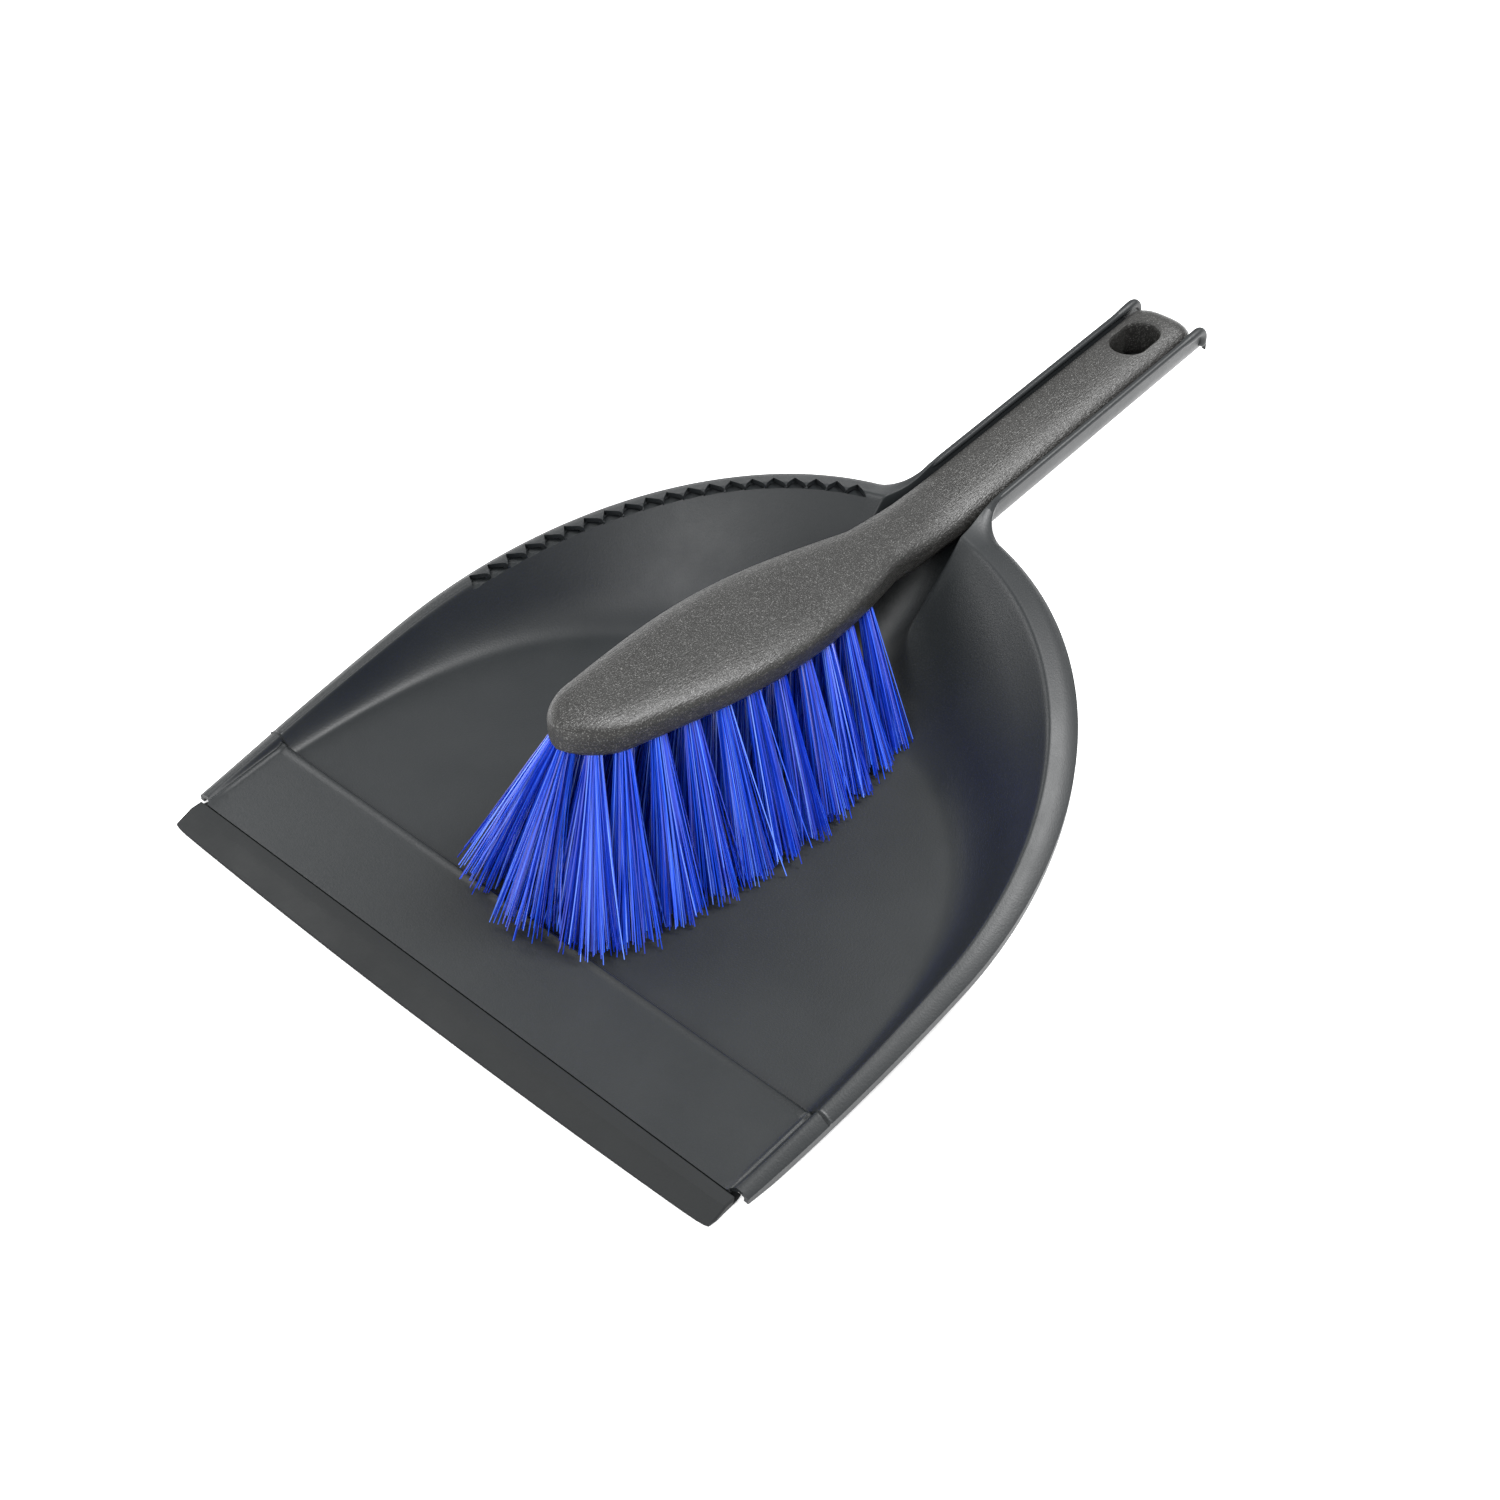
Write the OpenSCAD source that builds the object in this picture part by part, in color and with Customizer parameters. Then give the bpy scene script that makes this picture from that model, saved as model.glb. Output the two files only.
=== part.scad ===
// Dust pan and hand brush set. The brush lies head down in the pan, with its
// handle in the trough that is the pan's own handle.
// Millimetres. +Z is up, the rubber lip faces -Y and the handles point to +Y.
// The origin is on the floor, under the middle of the set.

/* [Overall] */
// Length from the rubber lip to the end of the pan's handle
set_l = 348; // [300:1:400]
// Width across the widest part of the pan's rim
set_w = 220; // [190:1:250]

/* [Pan bowl] */
// Distance from the lip back to the widest part of the rim
wide_at = 95; // [80:1:110]
// Distance from the lip to the back of the bowl's rim
bowl_l = 225.5; // [205:0.5:245]
// How much the rim's sides draw in from the widest part to the mouth
mouth_draw_in = 3.5; // [1:0.5:8]
// Thickness of the floor and walls
wall_t = 1.9; // [1.4:0.1:3]
// Height of the rim at the mouth
rim_front_h = 2.9; // [2.6:0.1:5]
// Height that the rim gains from the mouth to the neck
rim_rise = 38.6; // [30:0.1:46]
// Share of that height which the curve of the rim gives
rim_bend = 0.36; // [0:0.02:0.6]
// Radius between the floor and the walls
floor_fillet_r = 9; // [4:0.5:12]
// Slope of the side walls, as run over height
side_wall_run = 0.52; // [0.4:0.02:0.7]
// Slope of the back wall, as run over height
back_wall_run = 1.02; // [0.8:0.02:1.2]

/* [Pan rim] */
// Width of the flat rim at the mouth
rim_front_w = 4; // [3:0.1:5]
// Width of the flat rim at the back
rim_back_w = 10.6; // [8:0.1:13]
// Thickness of the rim
rim_t = 2.0; // [1.4:0.1:2.4]
// Height of the skirt round the outside of the rim
skirt_h = 3.6; // [2.6:0.1:5]
// Rise of the rim from its outer to its inner edge, as a share of its width
rim_tilt = 0.26; // [0:0.02:0.4]

/* [Comb teeth] */
// Number of notches in the left rim
teeth = 20; // [4:1:24]
// Distance from one notch to the next, along the rim
tooth_pitch = 6.5; // [5:0.1:8]
// Depth of a notch, from the rim's inner edge outwards
tooth_d = 4.2; // [2:0.1:5]
// Height of a notch
tooth_h = 1.5; // [1:0.1:1.6]
// Share of the rim's length at which the first notch lies
tooth_start = 0.36; // [0.3:0.01:0.4]

/* [Ramp and lip] */
// Distance from the lip's tip to the step at the end of the ramp
ramp_l = 42.5; // [35:0.5:50]
// Height of the ramp at its front edge
ramp_front_h = 2.8; // [2.4:0.1:3.4]
// Height of the ramp at the step
ramp_back_h = 4.7; // [4:0.1:6]
// How far each end of the rubber lip is set in from the mouth's corner
lip_inset = 2.5; // [1.5:0.1:8]
// Length of the rubber lip, front to back
lip_l = 12.3; // [9:0.1:16]
// How far the lip's front edge bows forward of its corners
lip_bow = 1.9; // [0:0.1:4]
// Thickness of the lip at its tip
lip_tip_t = 0.9; // [0.6:0.1:1.4]
// Length of the tongue that holds the lip
tongue_l = 5; // [3:0.1:7]
// Thickness of the tongue
tongue_t = 0.9; // [0.6:0.1:1]

/* [Pan handle] */
// Slope of the handle, in degrees
handle_slope = 3.9; // [2:0.1:6]
// Clearance between the brush's handle and each side of the trough
grip_gap = 0.6; // [0.4:0.1:2]
// Clearance between the brush's handle and the bottom of the trough
grip_under_gap = 3.6; // [2:0.1:6]
// Thickness of the trough's wall
trough_wall = 1.4; // [1.2:0.1:2]
// Radius of the bead along the trough's edges
bead_r = 0.9; // [0.6:0.1:1.2]
// Height of the trough's rim at the neck
neck_h = 45.3; // [40:0.1:50]
// Distance from the back of the bowl's rim to the neck
neck_gap = 3.9; // [2:0.1:8]
// How much wider the chute down the back wall is than the trough, on each side
chute_flare = 2.1; // [1:0.1:4]

/* [Brush] */
// Distance from the lip's tip to the nose of the brush
nose_at = 58; // [50:1:80]
// Gap between the end of the brush and the end of the trough
brush_back_gap = 1; // [0.5:0.1:6]
// Length of the brush's head, from its nose to the narrow neck
head_l = 130.5; // [115:0.5:140]
// Width of the brush's head
head_w = 38.8; // [32:0.1:47]
// Thickness of the brush's head
head_t = 12; // [10:0.1:14]
// Slope of the head, nose up, in degrees
head_slope = 7.2; // [4:0.1:9]
// Height of the top of the head at its narrow neck
head_neck_h = 48.6; // [46:0.1:54]
// Width of the narrow neck
neck_w = 20.8; // [18:0.1:22]
// Width of the brush's handle
grip_w = 22.6; // [20:0.1:28]
// Thickness of the brush's handle
grip_t = 13; // [11:0.1:14]
// How far the brush's handle stands above the trough's edges
grip_proud = 1.2; // [0.5:0.1:3]
// Width of the hanging hole
hole_w = 12.2; // [8:0.1:14]
// Length of the hanging hole
hole_l = 18.8; // [15:0.1:24]
// Distance from the end of the brush to the middle of the hanging hole
hole_at = 22; // [18:0.5:30]

/* [Bristles] */
// Tufts in each outer row
outer_tufts = 11; // [6:1:11]
// Tufts in each inner row
inner_tufts = 10; // [5:1:10]
// Radius of the holes that the tufts sit in
tuft_hole_r = 2.2; // [1.5:0.1:2.3]
// Clearance of a tuft in its hole, on the radius
tuft_fit = 0.1; // [0.05:0.05:0.2]
// Depth of the holes
tuft_hole_d = 7.5; // [5:0.1:8]
// Radius of a tuft at its tip
tuft_tip_r = 3.4; // [2.4:0.1:3.8]
// How far the outer tufts lean outwards
outer_lean = 22; // [14:0.5:24]
// How far the inner tufts lean outwards
inner_lean = 7; // [4:0.5:9]
// How far every tuft leans forward
forward_lean = 11; // [10.5:0.5:13]
// How much further forward the tufts at the nose lean
nose_lean = 12; // [6:0.5:14]
// Height of a tuft anchor
anchor_h = 1.6; // [1:0.1:2]
// Thickness of a tuft anchor
anchor_t = 0.5; // [0.3:0.1:0.8]
// Gap between the brush's handle and the nubs that hold it
nub_gap = 0.3; // [0.3:0.1:0.5]

/* [Hidden] */
side_names = ["left", "right"];
function two_digits(k) = k < 10 ? str("0", k) : str(k);
function tuft_name(side, row, k) = str("tuft_", side_names[side], "_", row, "_", two_digits(k));
OUTER = [for (side = [0, 1], k = [1:outer_tufts]) tuft_name(side, "outer", k)];
INNER = [for (side = [0, 1], k = [1:inner_tufts]) tuft_name(side, "inner", k)];

round_fn = 64;       // facets that a round part is drawn with
front_cut = 2;       // how far the bowl's hollow runs out through its mouth
front_lead = 0.4;    // how far the bowl's shell starts ahead of the rim
shell_top = -1.2;    // where the shell's top ends, measured up the wall from the rim's inner edge
hollow_top = 14;     // where the hollow's top ends, measured the same way
overrun = 1;         // how far a cut runs past the face that it cuts
side_steps = 8;      // stations along each straight side of the bowl
back_steps = 22;     // stations round each half of the bowl's back
rim_side_steps = 7;  // the rim's own stations, which fall between the bowl's
rim_back_steps = 25; // stations of the rim round each half of the back
fillet_steps = 4;    // points along the fillet at the floor
foot_gap = 0.3;      // height of the skirt's lowest edge above the floor
rim_lap = 0.4;       // how far the rim reaches in past the wall before the bowl is hollowed out
rail_gap = 1.5;      // gap between the lip's seam and the start of the rails

y_lip = -set_l / 2;
y_seam = y_lip + lip_l;
y_rail = y_seam + rail_gap;
y_wide = y_lip + wide_at;
y_step = y_lip + ramp_l;
y_neck = y_lip + bowl_l + neck_gap;
y_end = set_l / 2;
back_reach = bowl_l - wide_at;
lip_w = set_w - 2 * (mouth_draw_in + lip_inset);
trough_r = grip_w / 2 + grip_gap;
trough_depth = grip_t - grip_proud + grip_under_gap;
trough_side_h = trough_depth - trough_r;
chute_r = trough_r + chute_flare;
arc_weight = 1.3;    // weight of the curved back in the share of t that it gets
wide_share = (y_wide - y_rail) / (y_wide - y_rail + back_reach * arc_weight);

// ---- Outline of the rim: t runs from the mouth (0) to the middle of the back (1) ----
function lerp(a, b, s) = a + (b - a) * s;
function ease(s) = let (c = min(1, max(0, s))) c * c * (3 - 2 * c);
function back_angle(t) = 90 * max(0, t - wide_share) / (1 - wide_share);
function rim_edge(t) = t < wide_share
    ? let (s = 1 - t / wide_share)
      [set_w / 2 - mouth_draw_in * s * s, lerp(y_wide, y_rail, s)]
    : [set_w / 2 * cos(back_angle(t)), y_wide + back_reach * sin(back_angle(t))];
function inward(t) = t < wide_share ? [-1, 0]
    : let (n = [cos(back_angle(t)) / (set_w / 2), sin(back_angle(t)) / back_reach]) -n / norm(n);

// ---- Height and width of the rim ----
function rim_share(y) = (y - y_rail) / (y_neck - y_rail);
function rim_h(y) = let (s = rim_share(y))
    rim_front_h + rim_rise * ((1 - rim_bend) * s + rim_bend * s * s);
function rim_w(y) = lerp(rim_front_w, rim_back_w, pow(max(0, rim_share(y)), 1.3));
function inner_edge(t) = let (p = rim_edge(t)) p + inward(t) * rim_w(p[1]);
function inner_h(t) = let (y = rim_edge(t)[1]) rim_h(y) + rim_tilt * rim_w(y);
wall_turn = 80;         // angle along the back over which the wall grows flatter
function wall_run(t) = lerp(side_wall_run, back_wall_run, ease(back_angle(t) / wall_turn))
    * (inner_h(t) - wall_t);

// ---- One wall section, as [distance inwards, height] pairs, moved out by g ----
function wall_section(t, g) = let (
    h = inner_h(t) - wall_t,
    run = wall_run(t),
    r = min(floor_fillet_r, 0.8 * min(h, run)),
    reach = norm([run, h - r]),
    fall = atan2(r - h, run) - asin(r / reach),
    top = [0, wall_t + h] + g * [cos(fall - 90), sin(fall - 90)]
)
    concat([top], [for (k = [0:fillet_steps])
        let (a = lerp(fall - 90, -90, k / fillet_steps))
        [run, wall_t + r] + (r + g) * [cos(a), sin(a)]]);
function placed(t, dh) = let (p = inner_edge(t) + inward(t) * dh[0]) [p[0], p[1], dh[1]];

function along_outline(side, back) = concat([for (k = [0:side - 1]) wide_share * k / side],
    [for (k = [0:back]) lerp(wide_share, 1, k / back)]);

// Solid inside of the bowl (g = 0, closed by a lid above it) or its outer form (g = wall_t)
module bowl_form(g, lid) {
    right = [for (t = along_outline(side_steps, back_steps))
        let (w = wall_section(t, g), top = w[0] + lid * (w[0] - w[1]) / norm(w[0] - w[1]))
        concat([placed(t, top)], [for (k = [lid > 0 ? 0 : 1:len(w) - 1]) placed(t, w[k])])];
    mouth = [for (p = right[0]) [p[0], p[1] - (g > 0 ? front_lead : front_cut), p[2]]];
    half = concat([mouth], [for (i = [1:len(right) - 1]) right[i]]);
    n = len(half);
    rows = len(half[0]);
    lines = concat(half, [for (i = [n - 2:-1:0]) [for (p = half[i]) [-p[0], p[1], p[2]]]]);
    total = len(lines);
    function id(i, j) = i * rows + j;
    polyhedron(
        points = [for (line = lines, p = line) p],
        faces = concat(
            [for (i = [0:total - 2], j = [0:rows - 2])
                [id(i, j), id(i + 1, j), id(i + 1, j + 1), id(i, j + 1)]],
            [for (i = [0:n - 3]) [id(i, rows - 1), id(i + 1, rows - 1),
                id(total - 2 - i, rows - 1), id(total - 1 - i, rows - 1)]],
            [[id(n - 2, rows - 1), id(n - 1, rows - 1), id(n, rows - 1)]],
            [for (i = [0:n - 3]) [id(i + 1, 0), id(i, 0), id(total - 1 - i, 0), id(total - 2 - i, 0)]],
            [[id(n - 1, 0), id(n - 2, 0), id(n, 0)]],
            [concat([for (j = [0:rows - 1]) id(0, j)], [for (j = [rows - 1:-1:0]) id(total - 1, j)])]
        ));
}

skirt_share = 0.8;   // thickness of the skirt, as a share of the rim's
// The flat rim with its skirt, swept along the outline from mouth to mouth
function rim_section(t) = let (
    y = rim_edge(t)[1], w = rim_w(y), h = rim_h(y), rise = rim_tilt * w,
    skirt_foot = max(foot_gap, h - skirt_h), skirt_t = skirt_share * rim_t
) [
    [-w, skirt_foot], [-w, h], [rim_lap, h + rise + rim_tilt * rim_lap], [rim_lap, h + rise - rim_t],
    [-w + skirt_t, max(foot_gap + 0.1, h - rim_t)], [-w + skirt_t, skirt_foot]
];
module rim_sweep() {
    right = [for (t = along_outline(rim_side_steps, rim_back_steps))
        [for (q = rim_section(t)) placed(t, q)]];
    n = len(right);
    rows = len(right[0]);
    lines = concat(right, [for (i = [n - 2:-1:0]) [for (p = right[i]) [-p[0], p[1], p[2]]]]);
    total = len(lines);
    function id(i, j) = i * rows + j % rows;
    polyhedron(
        points = [for (line = lines, p = line) p],
        faces = concat(
            [for (i = [0:total - 2], j = [0:rows - 1])
                [id(i, j), id(i, j + 1), id(i + 1, j + 1), id(i + 1, j)]],
            [[for (j = [rows - 1:-1:0]) id(0, j)]],
            [[for (j = [0:rows - 1]) id(total - 1, j)]]
        ));
}

// ---- Handle trough ----
// Everything on the handle is drawn with y along it and z = 0 at the trough's edges.
module on_handle() {
    translate([0, y_neck, neck_h]) rotate([handle_slope, 0, 0]) children();
}
trough_l = (y_end - y_neck) / cos(handle_slope)
    - (trough_depth + trough_wall + bead_r) * tan(handle_slope);
module u_shape(r, side, top) {
    translate([0, -side]) intersection() {
        circle(r = r, $fn = round_fn);
        translate([-r, -r]) square([2 * r, r]);
    }
    translate([-r, -side]) square([2 * r, side + top]);
}
module along_handle(y0, y1) {
    translate([0, y1, 0]) rotate([90, 0, 0]) linear_extrude(height = y1 - y0) children();
}
trough_start = -12;     // where the trough begins inside the bowl, along the handle
end_bead_l = 2.4;       // length of the bead round the trough's open end
end_corner_r = 7;       // rounding of the trough's top corners at that end
module trough_outside() {
    along_handle(trough_start, trough_l) u_shape(trough_r + trough_wall, trough_side_h, 0);
    for (side = [-1, 1])
        translate([side * (trough_r + trough_wall - 0.2), trough_l, -bead_r])
            rotate([90, 0, 0]) cylinder(r = bead_r, h = trough_l - 2, $fn = 32);
    along_handle(trough_l - end_bead_l, trough_l)
        u_shape(trough_r + trough_wall + bead_r / 2, trough_side_h, 0);
}
module trough_end_corner() {
    translate([0, trough_l - end_corner_r, -end_corner_r]) rotate([0, -90, 0])
        difference() {
            translate([0, 0, -set_w / 8])
                cube([end_corner_r + overrun, end_corner_r + overrun, set_w / 4]);
            cylinder(r = end_corner_r, h = set_w, center = true, $fn = round_fn);
        }
}
module trough_inside() {
    along_handle(trough_start - overrun, trough_l + overrun)
        u_shape(trough_r, trough_side_h, 4 * overrun);
}

// Two nubs at the neck, which keep the brush's handle in the trough
nub_l = 5;              // length of a nub
nub_h = 1.6;            // height of a nub
module nubs() {
    for (side = [-1, 1])
        translate([side * (grip_w / 2 + nub_gap) + (side > 0 ? 0 : -trough_wall), 0, -nub_h])
            cube([trough_wall, nub_l, nub_h - 0.2]);
}

// ---- Chute: the groove that carries the trough down the back wall to the floor ----
back_floor_y = y_lip + bowl_l - rim_w(y_neck) - wall_run(1);
chute_top = [y_neck + 3, neck_h - trough_depth];
chute_foot = [back_floor_y - 1, wall_t];
chute_slope = atan2(chute_top[1] - chute_foot[1], chute_top[0] - chute_foot[0]);
chute_l = norm(chute_top - chute_foot);
chute_step = 1.6;       // how far short of the trough the chute's hollow stops, which leaves a small step
chute_side_h = 2;       // height of the straight sides of the chute's own shell
module chute_prism(r, low, y_from, up) {
    intersection() {
        translate([0, chute_top[0], chute_top[1] + chute_r]) rotate([chute_slope, 0, 0])
            along_handle(-chute_l - chute_r, y_from) u_shape(r, 0, up);
        translate([-chute_r * 2, y_wide, low]) cube([chute_r * 4, set_l, set_l]);
    }
}

// ---- Gusset that carries the rim from the bowl to the trough ----
gusset_r = 12;          // radius of the concave corner at the neck
gusset_t = 3.4;         // thickness of the gusset
gusset_slope = 9.5;     // slope of its top, which joins the rim to the trough's edges
gusset_lap = 0.4;       // how far the concave corner bites into the trough's wall
gusset_drop = 1;        // how far its top lies below the trough's edges at the neck
module gusset_plate() {
    reach = trough_r + trough_wall + gusset_r - gusset_lap;
    front = -14;
    back = y_wide + back_reach * sqrt(1 - pow(2 * reach / set_w, 2)) + gusset_r - y_neck;
    translate([0, y_neck, neck_h - gusset_t - gusset_drop]) rotate([gusset_slope, 0, 0])
        linear_extrude(height = gusset_t) difference() {
            translate([-reach, front]) square([2 * reach, back - front]);
            for (side = [-1, 1])
                translate([side * reach, back]) circle(r = gusset_r, $fn = round_fn);
        }
}

// ---- Comb: shallow notches sunk outwards from the left rim's inner edge ----
function inner_step(t) = norm(inner_edge(t + 0.002) - inner_edge(t)) / 0.002;
tooth_fill = 0.92;      // share of the pitch that a notch takes at the rim's edge
tooth_places = [for (k = 0, t = tooth_start; k < teeth; t = t + tooth_pitch / inner_step(t), k = k + 1) t];
module comb_notches() {
    half = tooth_fill * tooth_pitch / 2;
    for (t = tooth_places) {
        p = inner_edge(t);
        n = inward(t);
        translate([-p[0], p[1], inner_h(t) - tooth_h])
            rotate([0, 0, atan2(n[1], -n[0])])
                linear_extrude(height = tooth_h + 2 * overrun)
                    polygon([[overrun, -half], [overrun, half], [0, half], [-tooth_d, 0], [0, -half]]);
    }
}

// ---- Ramp: the sheet behind the lip, which drops to the floor at the step ----
step_t = 1.4;           // thickness of the upright at the step
module across(w) {
    translate([-w / 2, 0, 0]) rotate([90, 0, 90]) linear_extrude(height = w) children();
}
ramp_half_w = inner_edge(0)[0] - 1;
module ramp_solid() {
    across(2 * ramp_half_w)
        polygon([[y_seam, 0], [y_seam, ramp_front_h], [y_step, ramp_back_h],
            [y_step, wall_t / 2], [y_step, 0]]);
}
module ramp_hollow() {
    across(2 * (ramp_half_w - 3))
        polygon([[y_seam - overrun, -overrun], [y_seam - overrun, ramp_front_h - wall_t],
            [y_step - step_t, ramp_back_h - wall_t], [y_step - step_t, -overrun]]);
}
tongue_z = ramp_front_h - wall_t + (wall_t - tongue_t) / 2;
tongue_w = lip_w - 16;
module tongue(more_l) {
    translate([-tongue_w / 2, y_seam - tongue_l, tongue_z])
        cube([tongue_w, tongue_l + more_l, tongue_t]);
}

module pan() {
    color([0.20, 0.22, 0.23])
        difference() {
            union() {
                difference() {
                    union() {
                        bowl_form(wall_t, shell_top);
                        rim_sweep();
                        gusset_plate();
                        on_handle() trough_outside();
                        chute_prism(chute_r + wall_t, 0, 0, chute_side_h);
                    }
                    bowl_form(0, hollow_top);
                    chute_prism(chute_r, wall_t, -chute_step, neck_h);
                    on_handle() trough_inside();
                    on_handle() trough_end_corner();
                }
                ramp_solid();
                on_handle() nubs();
            }
            ramp_hollow();
            comb_notches();
        }
    color([0.20, 0.22, 0.23]) tongue(0.2);
}

// ---- Rubber lip: a soft strip moulded over the tongue, which droops to the floor ----
lip_steps = 24;         // stations across the lip
lip_bend_l = 6.4;       // length of the drooping front face
lip_corner_l = 1.2;     // how far the lip's corners are cut back
lip_under_share = 0.6;  // where its underside meets the tongue, as a share of its length
lip_under_rise = 0.8;   // height there, as a share of the height at the seam
function lip_front(x) = let (s = x / (lip_w / 2))
    y_lip + lip_bow * s * s + lip_corner_l * pow(abs(s), 40);
module rubber_lip() {
    xs = [for (i = [0:lip_steps]) lip_w / 2 * sin(lerp(-90, 90, i / lip_steps))];
    under = ramp_front_h - wall_t;
    lines = [for (x = xs) let (y = lip_front(x)) [
        [x, y, 0], [x, y, lip_tip_t],
        [x, lerp(y, y_seam, lip_bend_l / lip_l), ramp_front_h], [x, y_seam, ramp_front_h],
        [x, y_seam, under], [x, lerp(y, y_seam, lip_under_share), under * lip_under_rise]
    ]];
    total = len(lines);
    function id(i, j) = i * 6 + j % 6;
    color([0.13, 0.14, 0.15]) difference() {
        polyhedron(
            points = [for (line = lines, p = line) p],
            faces = concat(
                [for (i = [0:total - 2], j = [0:5])
                    [id(i, j), id(i, j + 1), id(i + 1, j + 1), id(i + 1, j)]],
                [[for (j = [5:-1:0]) id(0, j)]],
                [[for (j = [0:5]) id(total - 1, j)]]
            ));
        tongue(overrun);
    }
}

// ---- Brush body: head and handle in one piece ----
grip_steps = 4;         // stations along the straight part of the handle
body_points = 28;       // points round each section
nose_share = 0.12;      // share of the head that its round nose takes
brush_end = y_end - brush_back_gap;
y_nose = y_lip + nose_at;
y_head_neck = y_nose + head_l;
grow_l = 30;            // length over which the narrow neck grows into the handle
under_round_l = 24;     // length over which the flat underside turns round
y_bend = y_head_neck + grow_l;
end_round_l = 9;        // length over which the end of the handle rounds off
end_fall = 5.5;         // how far the top of the handle falls at its end
end_under_fall = 2;     // how far its underside falls there
end_draw_in = 0.9;      // share of the handle's width that the round end takes away, squared
end_thinning = 0.35;    // share of the handle's thickness that the round end takes away
nose_fall = 1.6;        // how far the top of the head falls at the nose
nose_under_rise = 2.8;  // how far its underside rises there
dip_round = 1.1;        // softness of the bend in the top line at the narrow neck
widest_power = 1.16;    // puts the widest part of the head behind its middle
top_power = 3.2;        // squareness of the sections' upper half
head_under_power = 5;   // squareness of the head's lower half
grip_under_power = 2;   // squareness of the handle's lower half
function trough_edge_h(y) = neck_h + (y - y_neck) * tan(handle_slope);
function grip_top(y) = trough_edge_h(y) + grip_proud;
function head_top(y) = head_neck_h + (y_head_neck - y) * tan(head_slope);
function top_line(y) = let (a = head_top(y), b = grip_top(y)) (a + b) / 2 + norm([(a - b) / 2, dip_round]);
function end_share(y) = max(0, 1 - (brush_end - y) / end_round_l);
function nose_part(y) = max(0, 1 - (y - y_nose) / (nose_share * head_l));
function head_half_w(y) = let (s = (y - y_nose) / head_l)
    sqrt(1 - pow(nose_part(y), 2)) * lerp(neck_w, head_w, sin(180 * pow(s, widest_power))) / 2;
function body_half_w(y) = y < y_head_neck ? head_half_w(y)
    : lerp(neck_w, grip_w, ease((y - y_head_neck) / grow_l)) / 2
        * sqrt(1 - end_draw_in * pow(end_share(y), 2.5));
function body_t(y) = lerp(head_t, grip_t, ease((y - y_head_neck) / grow_l))
    * (1 - end_thinning * pow(end_share(y), 2));
function body_top(y) = top_line(y) - nose_fall * pow(nose_part(y), 2) - end_fall * pow(end_share(y), 2);
function body_under(y) = top_line(y) - body_t(y)
    + nose_under_rise * pow(nose_part(y), 2) - end_under_fall * pow(end_share(y), 2);
// The head has a flat underside; the handle's underside is round, to lie in the trough
function under_power(y) = lerp(head_under_power, grip_under_power, ease((y - y_head_neck) / under_round_l));
function power_curve(a, n) = let (c = cos(a), s = sin(a))
    [sign(c) * pow(abs(c), 2 / n), sign(s) * pow(abs(s), 2 / n)];
function body_section(y) = let (
    w = body_half_w(y), top = body_top(y), low = body_under(y), mid = lerp(low, top, 0.5)
)
    [for (k = [0:body_points - 1]) let (
        a = 360 * k / body_points,
        c = power_curve(a, a < 180 ? top_power : under_power(y))
    )
        [w * c[0], y, c[1] > 0 ? mid + (top - mid) * c[1] : mid + (mid - low) * c[1]]];
body_ys = concat(
    [for (k = [0:9]) y_nose + 0.25 + nose_share * head_l * (1 - cos(90 * k / 9))],
    [for (k = [1:22]) lerp(y_nose + nose_share * head_l + 0.25, y_bend, k / 22)],
    [for (k = [1:grip_steps]) lerp(y_bend, brush_end - end_round_l, k / grip_steps)],
    [for (k = [1:7]) brush_end - end_round_l * (1 - sin(90 * k / 7))]
);
module body_solid() {
    lines = [for (y = body_ys) body_section(y)];
    total = len(lines);
    n = body_points;
    function id(i, j) = i * n + j % n;
    polyhedron(
        points = [for (line = lines, p = line) p],
        faces = concat(
            [for (i = [0:total - 2], j = [0:n - 1])
                [id(i, j), id(i, j + 1), id(i + 1, j + 1), id(i + 1, j)]],
            [[for (j = [n - 1:-1:0]) id(0, j)]],
            [[for (j = [0:n - 1]) id(total - 1, j)]]
        ));
}
module hanging_hole() {
    translate([0, brush_end - hole_at, trough_edge_h(brush_end - hole_at) - grip_t * 1.5])
        linear_extrude(height = 3 * grip_t) {
            for (side = [-1, 1])
                translate([0, side * (hole_l - hole_w) / 2]) circle(d = hole_w, $fn = round_fn);
            translate([-hole_w / 2, (hole_w - hole_l) / 2]) square([hole_w, hole_l - hole_w]);
        }
}

// ---- Tufts: each has a root at the head's underside and a tip just above the pan ----
edge_inset = 4.8;       // distance from the head's edge to the middle of the outer holes
inner_share = 0.36;     // how far out the inner rows lie, as a share of the outer rows
row_gap = 0.3;          // least wall between the holes of the two inner rows
first_tuft = 8.6;       // distance from the nose to the first tuft of the outer rows
nose_pitch = 8;         // distance from the first tuft of an outer row to the second
last_tuft = 14.8;       // distance from the neck to the last one
nose_tuft_in = 5.4;     // distance from the nose to the single tuft in front
nose_tuft_share = 0.9;  // share of the nose lean that the single tuft has
nose_zone = 55;         // length behind the nose over which the extra lean fades out
nose_spread = 0.45;     // how much less the tufts at the nose lean outwards, as a share
root_fill = 0.95;       // share of a tuft's width that its anchor spans
tip_gap = 0.6;          // gap between the tips and the pan
function tuft_y(row, k) = let (
    pitch = (head_l - first_tuft - nose_pitch - last_tuft) / (outer_tufts - 2),
    inner_pitch = (head_l - first_tuft - last_tuft - (nose_pitch + pitch) / 2) / (inner_tufts - 1),
    y_first = y_nose + first_tuft
)
    row == "inner" ? y_first + nose_pitch / 2 + inner_pitch * (k - 1)
    : k == 1 ? y_first
    : y_first + nose_pitch + pitch * (k - 2);
function tuft_x(row, y) = let (outer = head_half_w(y) - edge_inset)
    row == "outer" ? outer : max(outer * inner_share, tuft_hole_r + row_gap / 2);
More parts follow.
